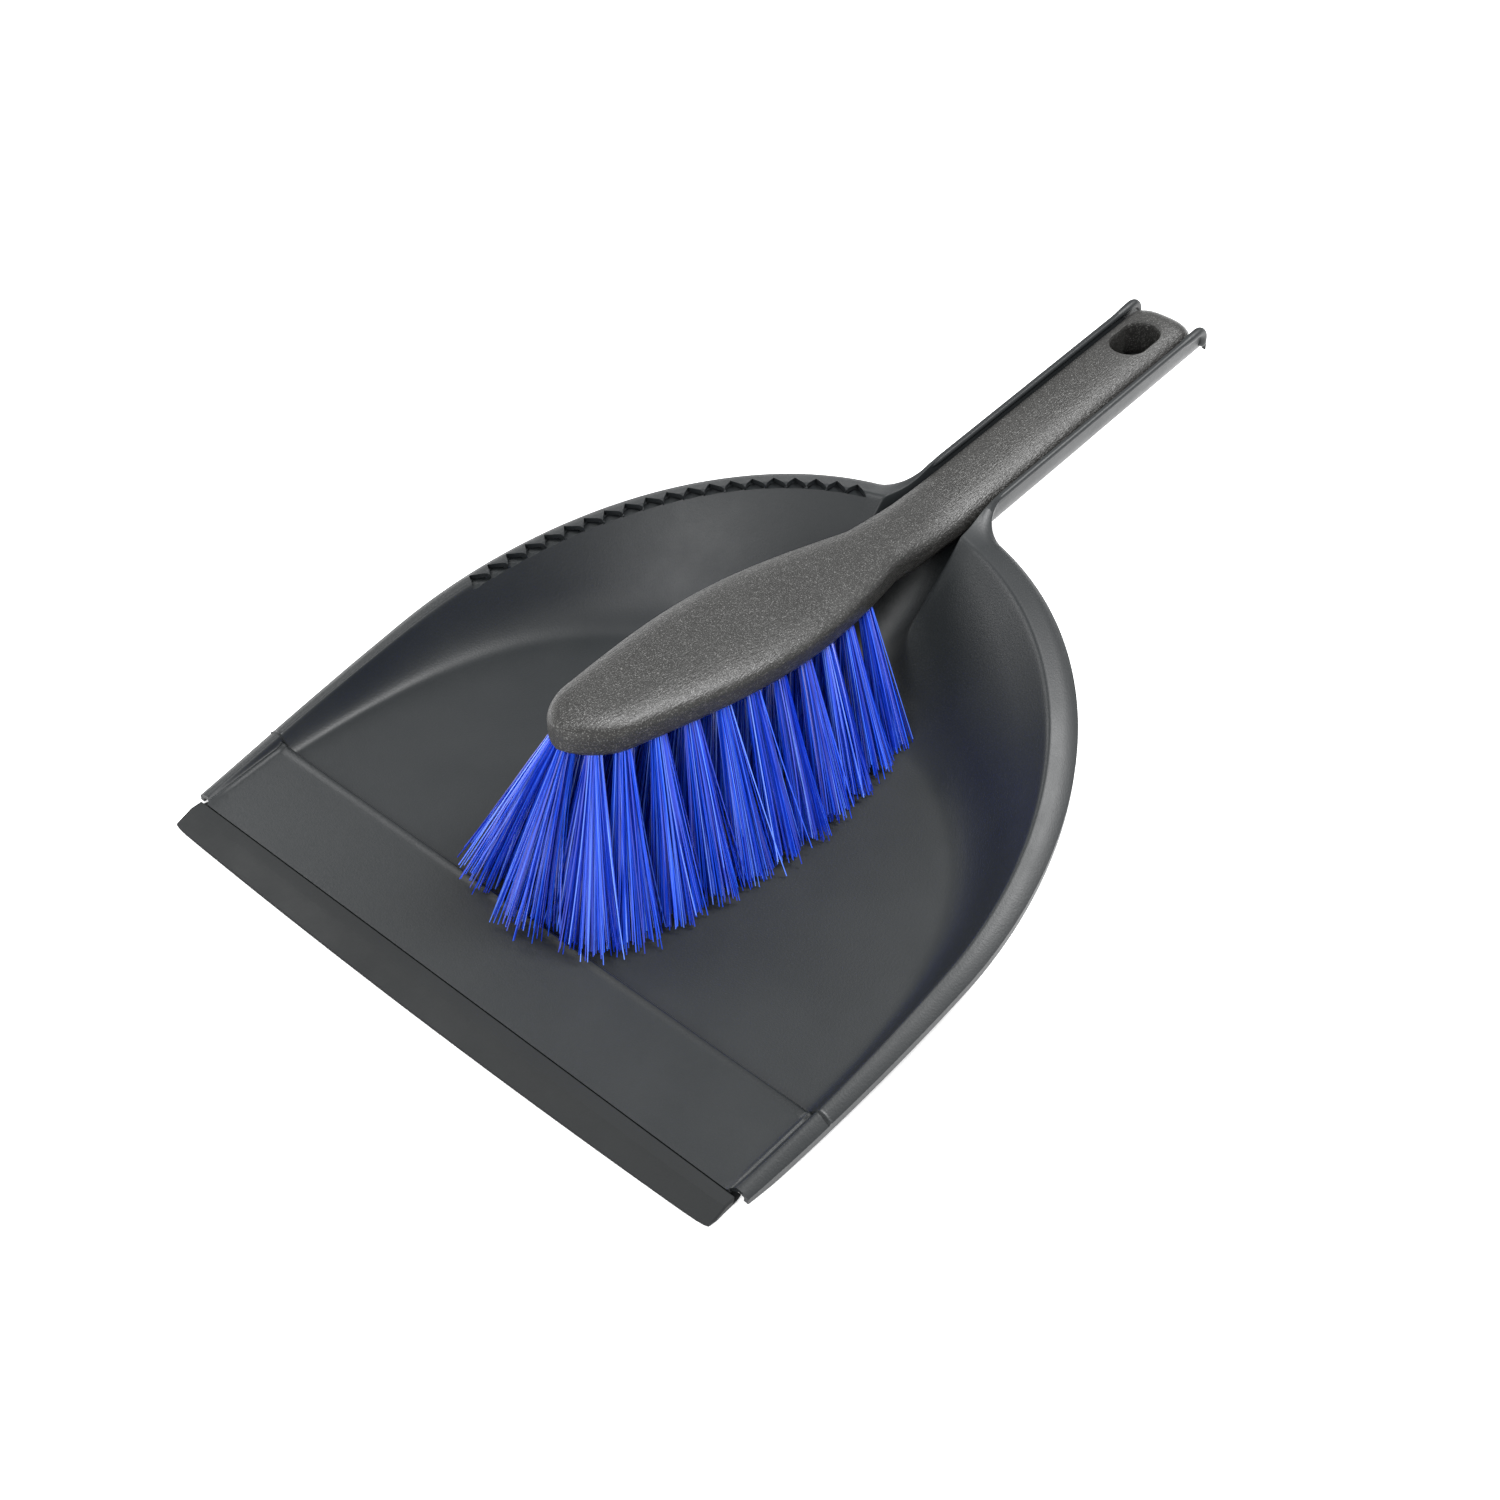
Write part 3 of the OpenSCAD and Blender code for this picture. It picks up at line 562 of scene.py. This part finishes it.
def half_width(y):
    if y < Y_HEAD_NECK:
        s = (y - Y_NOSE) / HEAD_L
        wide = 20.8 + 18.0 * math.sin(math.pi * max(s, 0) ** 1.16)
        return math.sqrt(max(0.0, 1 - nose_part(y) ** 2)) * wide / 2
    return (20.8 + 1.8 * float(ease((y - Y_HEAD_NECK) / 30))) / 2 * math.sqrt(1 - 0.9 * tail_part(y) ** 2.5)


def thickness(y):
    return (12.0 + 1.0 * float(ease((y - Y_HEAD_NECK) / 30))) * (1 - 0.35 * tail_part(y) ** 2)


def body_top(y):
    return top_line(y) - 1.6 * nose_part(y) ** 2 - 5.5 * tail_part(y) ** 2


def body_under(y):
    return top_line(y) - thickness(y) + 2.8 * nose_part(y) ** 2 - 2 * tail_part(y) ** 2


def body_ring(y, sides=96):
    w, top, low = half_width(y), body_top(y), body_under(y)
    mid = (top + low) / 2
    turn = float(ease((y - Y_HEAD_NECK) / 24))
    ring = []
    for k in range(sides + 1):
        a = 2 * math.pi * (k % sides) / sides
        c, d = math.cos(a), math.sin(a)
        n = 3.2 - 0.5 * turn if d > 0 else 5 - 3 * turn
        px = math.copysign(abs(c) ** (2 / n), c)
        pz = math.copysign(abs(d) ** (2 / n), d)
        ring.append((w * px, y, mid + (top - mid) * pz))
    return ring


ys = [Y_NOSE + 0.02 + NOSE_SHARE * HEAD_L * (1 - math.cos(math.pi / 2 * k / 22)) for k in range(23)]
ys += list(np.linspace(ys[-1], Y_HEAD_NECK + 34, 90)[1:])
ys += list(np.linspace(ys[-1], Y_TAIL - 9, 60)[1:])
ys += [Y_TAIL - 9 * (1 - math.sin(math.pi / 2 * k / 14)) for k in range(1, 15)]
rings = [body_ring(y) for y in ys]
first, last = np.array(rings[0]), np.array(rings[-1])
rings = [list(first * 0 + first.mean(0))] + rings
for shrink in (0.75, 0.45, 0.0):
    rings.append([tuple(last.mean(0) + (np.array(p) - last.mean(0)) * shrink) for p in last])
body = grid_from_rows("brush_shell", np.array(rings))
weld(body)
face_out(body)
count(body)


# %% [markdown]
# Each tuft fills one drilled hole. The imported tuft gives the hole's axis and where the tips end.

# %% Where each tuft sits
def frame_tuft(node):
    """Root and tip centres of a packed tuft, read from its own box and vertices."""
    co = np.array([v.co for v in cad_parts[node].data.vertices]) / MM
    low = co[co[:, 2] < co[:, 2].min() + 0.05]
    top = co[co[:, 2] > co[:, 2].max() - 0.6]
    return top.mean(0), low.mean(0)


tuft_nodes = sorted(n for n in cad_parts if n.startswith("tuft_") and n != "tuft_anchors")
tufts = {}
for n in tuft_nodes:
    top, tip = frame_tuft(n)
    d = (tip - top) / np.linalg.norm(tip - top)
    y = top[1]
    under = body_under(y + 1.5)
    root = top + d * (top[2] - under) / -d[2]
    tufts[n] = (root, tip, d)
print(len(tufts), "tufts")

# %% [markdown]
# The sockets are drilled, so straight cylinders cut them. The hanging hole has rounded edges, so
# its cutter flares at both faces.

# %% Holes: the hanging hole and the tuft sockets
def socket(root, d, r, length):
    bpy.ops.object.select_all(action="DESELECT")
    bpy.ops.mesh.primitive_cylinder_add(vertices=20, radius=r * MM, depth=length * MM)
    cut = bpy.context.object
    cut.rotation_mode = "QUATERNION"
    cut.rotation_quaternion = Vector(d).to_track_quat("Z", "Y")
    cut.location = Vector(root * MM)
    return cut


cuts = [socket(root, d, 2.2, 12.0) for root, tip, d in tufts.values()]
bpy.ops.object.select_all(action="DESELECT")
for c in cuts:
    c.select_set(True)
bpy.context.view_layer.objects.active = cuts[0]
bpy.ops.object.transform_apply(location=True, rotation=True, scale=True)
bpy.ops.object.join()
socket_cut = bpy.context.object
apply_modifier(body, "BOOLEAN", operation="DIFFERENCE", object=socket_cut, solver="EXACT")
bpy.data.objects.remove(socket_cut)
count(body)

HOLE_Y, HOLE_W, HOLE_L = Y_TAIL - 22, 12.2, 18.8
hole_top, hole_bottom = body_top(HOLE_Y), body_under(HOLE_Y)
low_flare = [(-2, 1.6), (-0.1, 1.1), (0.5, 0.45), (1.2, 0.1), (2.0, 0.0)]
top_flare = [(-1.9, 0.0), (-1.1, 0.1), (-0.5, 0.4), (0.0, 0.95), (2.0, 1.5)]
levels = [(hole_bottom + z, grow) for z, grow in low_flare]
levels += [(hole_top + z, grow) for z, grow in top_flare]
loops = []
for z, grow in levels:
    loop = []
    for k in range(65):
        a = 2 * math.pi * (k % 64) / 64
        r = HOLE_W / 2 + grow
        shift = (HOLE_L - HOLE_W) / 2 * (1 if math.sin(a) >= 0 else -1)
        ahead = shift + r * math.sin(a)
        loop.append((r * math.cos(a), HOLE_Y + ahead, z + 0.068 * ahead))
    loops.append(loop)
hole_cut = grid_from_rows("hole_cut", np.array(loops))
weld(hole_cut)
close_ends(hole_cut)
apply_modifier(body, "BOOLEAN", operation="DIFFERENCE", object=hole_cut, solver="EXACT")
bpy.data.objects.remove(hole_cut)
smooth(body, 38)
count(body)
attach(body, "brush")
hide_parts("brush_body")

# %% [markdown]
# A tuft is a folded bundle of plastic filaments that spread towards the tips. One filament is
# modelled with a few faces and repeated with small seeded differences in place, bend and tone,
# whose palest end is a painted highlight rather than the filament's own blue.

# %% Bristles
rng = np.random.default_rng(7)
SEGS = 7
FILAMENTS = 125
FILAMENT_R, BUNDLE_R, HIDDEN_L = 0.19, 1.75, 6.0
bpy.ops.object.select_all(action="DESELECT")
bpy.ops.mesh.primitive_cylinder_add(vertices=3, radius=1, depth=1, location=(0, 0, 0.5))
strand = bpy.context.object
bpy.ops.object.transform_apply(location=True, rotation=True, scale=True)
bpy.ops.object.mode_set(mode="EDIT")
bpy.ops.mesh.select_all(action="SELECT")
bpy.ops.mesh.quads_convert_to_tris()
bpy.ops.mesh.tris_convert_to_quads()
bpy.ops.object.mode_set(mode="OBJECT")
for k in range(1, SEGS):
    bpy.ops.object.mode_set(mode="EDIT")
    bpy.ops.mesh.select_all(action="SELECT")
    bpy.ops.mesh.bisect(plane_co=(0, 0, k / SEGS), plane_no=(0, 0, 1))
    bpy.ops.object.mode_set(mode="OBJECT")
strand_co = np.array([v.co for v in strand.data.vertices])
strand_faces = [list(p.vertices) for p in strand.data.polygons]
print("one filament has", len(strand_faces), "faces")
bpy.data.objects.remove(strand)


def pan_clear(y):
    return (4.7 if y < Y_STEP + 1 else FLOOR_Z) + 0.35


def tuft_mesh(name, root, tip, d, filaments):
    verts, faces, strand_tone_and_highlight = [], [], []
    side = np.cross(d, [0, 0, 1.0])
    side /= np.linalg.norm(side)
    up = np.cross(side, d)
    length = np.linalg.norm(tip - root)
    nose = clamp((Y_NOSE + 45 - root[1]) / 45)
    n = len(strand_co)
    for i in range(filaments):
        rr, ra = BUNDLE_R * math.sqrt(rng.random()), rng.random() * 2 * math.pi
        start = root - d * HIDDEN_L + side * rr * math.cos(ra) + up * rr * math.sin(ra)
        fan = rr / BUNDLE_R * (6.0 + 4.2 * nose) + rng.normal(0, 0.7)
        ta = ra + rng.normal(0, 0.25)
        if rng.random() < 0.05:
            fan += rng.uniform(0.8, 2.6)
        end = tip + side * fan * math.cos(ta) + up * fan * math.sin(ta) * 0.9
        end = end + d * (rng.normal(0, 1.3) + 0.1 + 1.5 * nose)
        bow = rng.normal(0, 0.35) + 0.5
        wander = rng.normal(0, 0.25)
        end[2] = max(end[2], pan_clear(end[1]) + abs(rng.normal(0, 0.25)))
        u = strand_co[:, 2][:, None]
        centre = start + (end - start) * u
        outward = end - start - d * np.dot(end - start, d)
        arch = np.sin(u * math.pi)
        centre = centre - outward * (u * (1 - u)) * 0.35 + side * wander * arch + up * bow * arch
        spin = rng.random() * 2 * math.pi
        cx = strand_co[:, 0] * math.cos(spin) - strand_co[:, 1] * math.sin(spin)
        cy = strand_co[:, 0] * math.sin(spin) + strand_co[:, 1] * math.cos(spin)
        r = FILAMENT_R * (1 - 0.12 * u[:, 0])
        verts.append(centre + side * (cx * r)[:, None] + up * (cy * r)[:, None])
        faces += [[v + i * n for v in f] for f in strand_faces]
        # One random value per filament: low values give the filament's own blue, high values give a painted
        # highlight colour.
        strand_tone_and_highlight += [rng.random()] * n
    mesh = bpy.data.meshes.new(name)
    mesh.from_pydata((np.vstack(verts) * MM).tolist(), [], faces)
    tone_and_painted_highlight = mesh.attributes.new("tone_and_painted_highlight", "FLOAT", "POINT")
    tone_and_painted_highlight.data.foreach_set("value", np.array(strand_tone_and_highlight, np.float32))
    mesh.update()
    obj = bpy.data.objects.new(name, mesh)
    bpy.context.scene.collection.objects.link(obj)
    face_out(obj)
    return obj


bristles = []
for n, (root, tip, d) in tufts.items():
    obj = tuft_mesh("bristles" + n[4:], root, tip, d, FILAMENTS)
    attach(obj, "brush")
    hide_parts(n)
    bristles.append(obj)
count(bristles[0])

# %% [markdown]
# Moulded plastic and rubber differ mostly in gloss and grain, so one recipe serves all three.
# Cloudy colour, uneven roughness and a fine bump stand for the moulded surface.

# %% Materials
def material(name):
    m = bpy.data.materials.new(name)
    m.use_nodes = True
    return m, m.node_tree.nodes, m.node_tree.links, m.node_tree.nodes["Principled BSDF"]


def noise(nodes, links, scale, detail=4.0, rough=0.5, stretch=None):
    where = nodes.new("ShaderNodeTexCoord")
    made = nodes.new("ShaderNodeTexNoise")
    made.inputs["Scale"].default_value = scale
    made.inputs["Detail"].default_value = detail
    made.inputs["Roughness"].default_value = rough
    if stretch:
        mapping = nodes.new("ShaderNodeMapping")
        mapping.inputs["Scale"].default_value = stretch
        links.new(where.outputs["Object"], mapping.inputs["Vector"])
        links.new(mapping.outputs["Vector"], made.inputs["Vector"])
    else:
        links.new(where.outputs["Object"], made.inputs["Vector"])
    return made


def ramp(nodes, links, source, stops):
    made = nodes.new("ShaderNodeValToRGB")
    made.color_ramp.elements[0].position, made.color_ramp.elements[0].color = stops[0][0], (*stops[0][1], 1)
    made.color_ramp.elements[1].position, made.color_ramp.elements[1].color = stops[1][0], (*stops[1][1], 1)
    for at, rgb in stops[2:]:
        e = made.color_ramp.elements.new(at)
        e.color = (*rgb, 1)
    links.new(source, made.inputs["Fac"])
    return made


def bump(nodes, links, shader, source, strength, distance):
    made = nodes.new("ShaderNodeBump")
    made.inputs["Strength"].default_value = strength
    made.inputs["Distance"].default_value = distance
    links.new(source, made.inputs["Height"])
    links.new(made.outputs["Normal"], shader.inputs["Normal"])
    return made


def moulded(
    name, dark, light, rough_low, rough_high, grain_scale, grain_strength,
    specks=True, stretch=None, sparkle=0.0,
):
    m, nodes, links, shader = material(name)
    cloud = noise(nodes, links, 9.0, 5.0, 0.6)
    colour = ramp(nodes, links, cloud.outputs["Fac"], [(0.3, dark), (0.7, light)])
    last = colour.outputs["Color"]
    if specks:
        dots = nodes.new("ShaderNodeTexVoronoi")
        dots.feature = "F1"
        dots.inputs["Scale"].default_value = 95.0
        where = nodes.new("ShaderNodeTexCoord")
        links.new(where.outputs["Object"], dots.inputs["Vector"])
        near = ramp(nodes, links, dots.outputs["Distance"], [(0.0, (1, 1, 1)), (0.035, (0, 0, 0))])
        few = ramp(nodes, links, dots.outputs["Color"], [(0.80, (0, 0, 0)), (0.84, (1, 1, 1))])
        both = nodes.new("ShaderNodeMath")
        both.operation = "MULTIPLY"
        links.new(near.outputs["Color"], both.inputs[0])
        links.new(few.outputs["Color"], both.inputs[1])
        mix = nodes.new("ShaderNodeMix")
        mix.data_type = "RGBA"
        mix.inputs[7].default_value = (0.35, 0.35, 0.34, 1)
        links.new(both.outputs[0], mix.inputs[0])
        links.new(last, mix.inputs[6])
        last = mix.outputs[2]
    if sparkle:
        fine_dots = noise(nodes, links, 2600.0, 2.0, 0.6)
        bright = (sparkle, sparkle, sparkle)
        lit = ramp(nodes, links, fine_dots.outputs["Fac"], [(0.56, (0, 0, 0)), (0.70, bright)])
        mix = nodes.new("ShaderNodeMix")
        mix.data_type = "RGBA"
        mix.inputs[7].default_value = (0.30, 0.30, 0.29, 1)
        links.new(lit.outputs["Color"], mix.inputs[0])
        links.new(last, mix.inputs[6])
        last = mix.outputs[2]
    links.new(last, shader.inputs["Base Color"])
    haze = noise(nodes, links, 34.0, 6.0, 0.65)
    rough = nodes.new("ShaderNodeMapRange")
    rough.inputs["From Min"].default_value, rough.inputs["From Max"].default_value = 0.3, 0.7
    rough.inputs["To Min"].default_value, rough.inputs["To Max"].default_value = rough_low, rough_high
    links.new(haze.outputs["Fac"], rough.inputs["Value"])
    links.new(rough.outputs["Result"], shader.inputs["Roughness"])
    grain = noise(nodes, links, grain_scale, 3.0, 0.7, stretch)
    bump(nodes, links, shader, grain.outputs["Fac"], grain_strength, 0.0004)
    return m


pan_look = moulded(
    "anthracite_moulded_plastic", (0.010, 0.0118, 0.013), (0.014, 0.016, 0.0172),
    0.40, 0.50, 1500.0, 0.16,
)
brush_look = moulded(
    "dark_grey_grained_plastic", (0.011, 0.0108, 0.0102), (0.017, 0.0166, 0.0155),
    0.29, 0.42, 2000.0, 0.62, specks=False, stretch=(1.0, 0.16, 1.0), sparkle=0.45,
)
lip_look = moulded(
    "charcoal_soft_rubber", (0.009, 0.010, 0.0105), (0.013, 0.0145, 0.015),
    0.50, 0.66, 1100.0, 0.12,
)
for look, shine in ((pan_look, 0.34), (brush_look, 0.42), (lip_look, 0.24)):
    look.node_tree.nodes["Principled BSDF"].inputs["Specular IOR Level"].default_value = shine
pan.data.materials.clear()
pan.data.materials.append(pan_look)
body.data.materials.clear()
body.data.materials.append(brush_look)
lip.data.materials.clear()
lip.data.materials.append(lip_look)

m, nodes, links, shader = material("royal_blue_filament")
tone_and_painted_highlight = nodes.new("ShaderNodeAttribute")
tone_and_painted_highlight.attribute_name = "tone_and_painted_highlight"
# The ramp grows paler towards 1.0. The darker stops are the filaments' royal blue, and the pale lavender at
# 1.0 is a painted highlight on random strands.
blues = [
    (0.0, (0.003, 0.020, 0.34)),
    (1.0, (0.15, 0.29, 0.95)),
    (0.5, (0.005, 0.050, 0.60)),
    (0.82, (0.018, 0.105, 0.80)),
]
blue = ramp(nodes, links, tone_and_painted_highlight.outputs["Fac"], blues)
links.new(blue.outputs["Color"], shader.inputs["Base Color"])
shader.inputs["Roughness"].default_value = 0.27
shader.inputs["Specular IOR Level"].default_value = 0.9
for obj in bristles:
    obj.data.materials.append(m)

m, nodes, links, shader = material("staple_steel")
streak = noise(nodes, links, 400.0, 2.0, 0.5, (1.0, 1.0, 0.1))
steel = ramp(nodes, links, streak.outputs["Fac"], [(0.3, (0.42, 0.42, 0.43)), (0.7, (0.60, 0.60, 0.61))])
links.new(steel.outputs["Color"], shader.inputs["Base Color"])
shader.inputs["Metallic"].default_value = 1.0
shader.inputs["Roughness"].default_value = 0.34
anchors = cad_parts["tuft_anchors"]
anchors.data.materials.clear()
anchors.data.materials.append(m)


def plain(name, rgb, rough):
    m = bpy.data.materials.new(name)
    m.use_nodes = True
    b = m.node_tree.nodes["Principled BSDF"]
    b.inputs["Base Color"].default_value = (*rgb, 1)
    b.inputs["Roughness"].default_value = rough
    return m


# %% [markdown]
# A plain pale floor, a bright even surround and soft lamps light the set like a catalogue object.

# %% Stage
bpy.ops.object.select_all(action="DESELECT")
bpy.ops.mesh.primitive_plane_add(size=12, location=(0, 0, -0.0004))
floor = bpy.context.object
floor.name = "floor"
white = plain("floor_white", (0.9, 0.9, 0.9), 0.6)
white.node_tree.nodes["Principled BSDF"].inputs["Emission Color"].default_value = (1, 1, 1, 1)
white.node_tree.nodes["Principled BSDF"].inputs["Emission Strength"].default_value = 0.5
floor.data.materials.append(white)
world = bpy.data.worlds.new("studio")
bpy.context.scene.world = world
world.use_nodes = True
world.node_tree.nodes["Background"].inputs[0].default_value = (1, 1, 1, 1)
world.node_tree.nodes["Background"].inputs[1].default_value = 0.62


def softbox(name, place, aim, size, power):
    bpy.ops.object.select_all(action="DESELECT")
    bpy.ops.object.light_add(type="AREA", location=place)
    lamp = bpy.context.object
    lamp.name = name
    lamp.data.shape = "SQUARE"
    lamp.data.size = size
    lamp.data.energy = power
    lamp.rotation_mode = "QUATERNION"
    lamp.rotation_quaternion = (Vector(aim) - Vector(place)).to_track_quat("-Z", "Y")
    return lamp


softbox("key_light", (0.3, 0.55, 1.0), (0, 0, 0), 0.4, 20)
softbox("front_light", (0.35, -1.0, 0.8), (0, -0.05, 0), 0.5, 11)
softbox("fill_light", (-0.9, -0.2, 0.8), (0, 0, 0), 0.6, 8)

# %% [markdown]
# The camera stands high at the front right corner and looks down on the open side of the pan.

# %% Camera
bpy.ops.object.select_all(action="DESELECT")
bpy.ops.object.camera_add(location=(0.3194, -0.3997, 0.4572))
camera = bpy.context.object
camera.name = "camera"
camera.data.lens = 53.5
camera.data.sensor_width = 36
camera.rotation_mode = "QUATERNION"
camera.rotation_quaternion = Vector((-0.48172, 0.54350, -0.68743)).to_track_quat("-Z", "Y")
bpy.context.scene.camera = camera
bpy.context.scene.view_settings.view_transform = "Standard"
